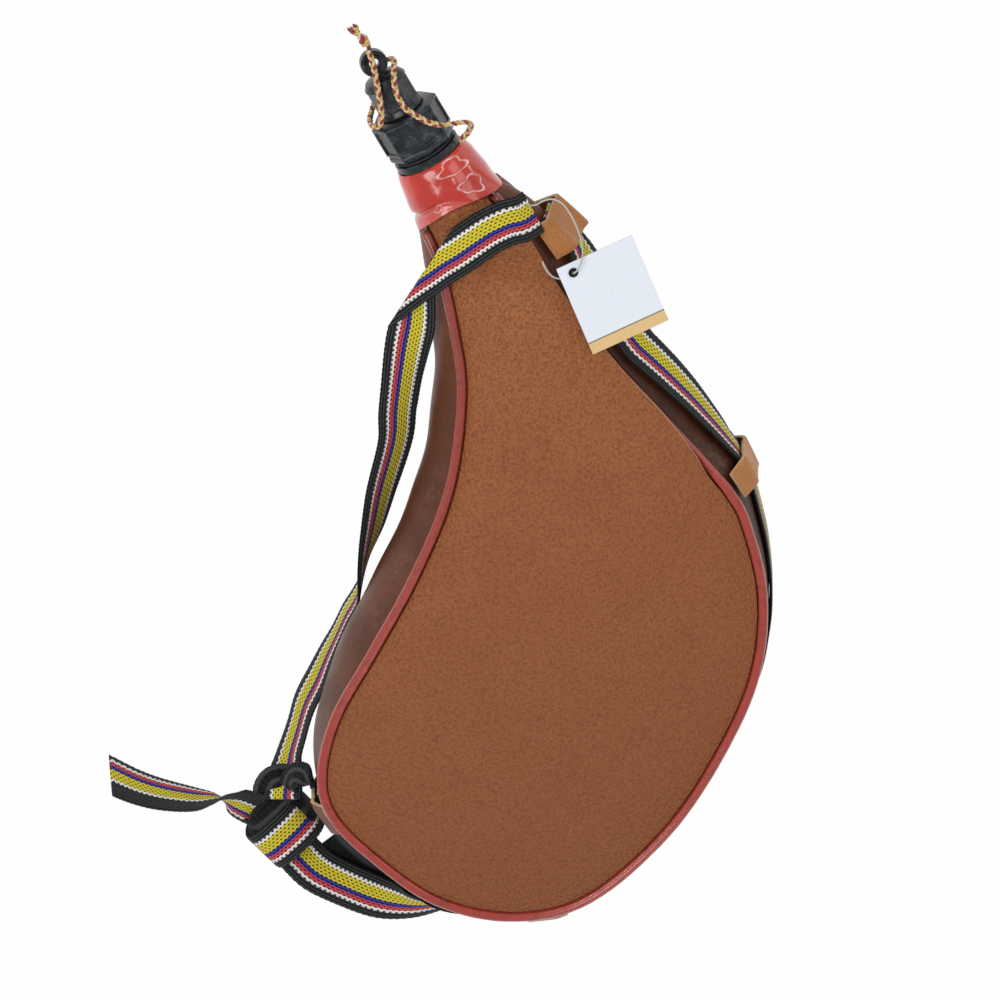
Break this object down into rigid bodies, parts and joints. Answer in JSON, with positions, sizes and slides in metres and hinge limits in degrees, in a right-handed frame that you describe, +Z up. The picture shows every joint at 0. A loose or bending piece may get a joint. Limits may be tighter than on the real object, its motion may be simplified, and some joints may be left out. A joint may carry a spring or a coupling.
{
  "type": "leather bota bag",
  "caption": "Curved leather bota bag with an inner bladder, screw mouthpiece, tethered screw cap, webbing strap in leather loops and a blank hang tag.",
  "frame": {"origin": "the foot of the bag's middle, on the plane that its back panel's lowest point rests on", "axes": "+Z up, out of the front panel; +Y along the bag toward the mouthpiece; +X across it to the side that the neck leans to"},
  "size_m": [0.3399, 0.4109, 0.07],
  "materials": {
    "tan_leather": "pebbled vegetable-tanned leather, satin",
    "dark_leather": "smooth dark brown leather, satin",
    "red_piping": "polished red-brown piping",
    "red_vinyl": "glossy red vinyl film",
    "bladder_latex": "smooth natural latex",
    "binding_cord": "waxed cotton cord",
    "black_plastic": "satin moulded plastic",
    "seal_rubber": "matt seal rubber",
    "loop_leather": "light tan leather, satin",
    "webbing": "woven cotton webbing with length-wise stripes",
    "tether_braid": "three-colour braided cord",
    "tag_card": "plain coated card",
    "eyelet_metal": "black lacquered eyelet",
    "tag_thread": "thin elastic thread"
  },
  "bodies": {
    "bag": {"back_panel": "tan_leather", "back_piping": "red_piping", "bladder": "bladder_latex", "bottom_loop": "loop_leather", "collar": "black_plastic", "front_panel": "tan_leather", "front_piping": "red_piping", "gusset": "dark_leather", "left_loop": "loop_leather", "neck_binding": "binding_cord", "neck_wrap": "red_vinyl", "right_loop": "loop_leather", "strap_back_run": "webbing", "strap_front_run": "webbing", "strap_knot": "webbing", "strap_left_wall": "webbing", "strap_lower_run": "webbing", "strap_side_run": "webbing", "strap_tail": "webbing", "strap_wall_run": "webbing", "tag_thread": "tag_thread", "tether_cord": "tether_braid", "upper_loop": "loop_leather"},
    "mouthpiece_rise": {"collar_gasket": "seal_rubber"},
    "mouthpiece": {"mouthpiece": "black_plastic"},
    "cap_rise": {"cap_liner": "seal_rubber"},
    "cap": {"cap": "black_plastic", "tether_knot": "tether_braid"},
    "tag": {"hang_tag": "tag_card", "tag_eyelet": "eyelet_metal"}
  },
  "joints": [
    {"name": "mouthpiece_lift", "type": "slide", "parent": "bag", "child": "mouthpiece_rise", "axis": [0, 1, 0], "range_m": [0, 0.0091]},
    {"name": "mouthpiece_turn", "type": "hinge", "parent": "mouthpiece_rise", "child": "mouthpiece", "pos_m": [0.07805, 0.24029, 0.033], "axis": [0, 1, 0], "range_deg": [0, 1080], "deforming": ["tether_cord"]},
    {"name": "cap_lift", "type": "slide", "parent": "mouthpiece", "child": "cap_rise", "axis": [0, 1, 0], "range_m": [0, 0.0101]},
    {"name": "cap_turn", "type": "hinge", "parent": "cap_rise", "child": "cap", "pos_m": [0.07805, 0.26079, 0.033], "axis": [0, 1, 0], "range_deg": [0, 1440], "deforming": ["tether_cord"]},
    {"name": "tag_swing", "type": "hinge", "parent": "bag", "child": "tag", "pos_m": [0.113, 0.16801, 0.06699], "axis": [0.1984, -0.0602, 0.9783], "range_deg": [-20, 15]}
  ],
  "couplings": [
    {"joint": "mouthpiece_lift", "follows": "mouthpiece_turn", "m_per_rad": 0.00047746},
    {"joint": "cap_lift", "follows": "cap_turn", "m_per_rad": 0.00039789}
  ]
}
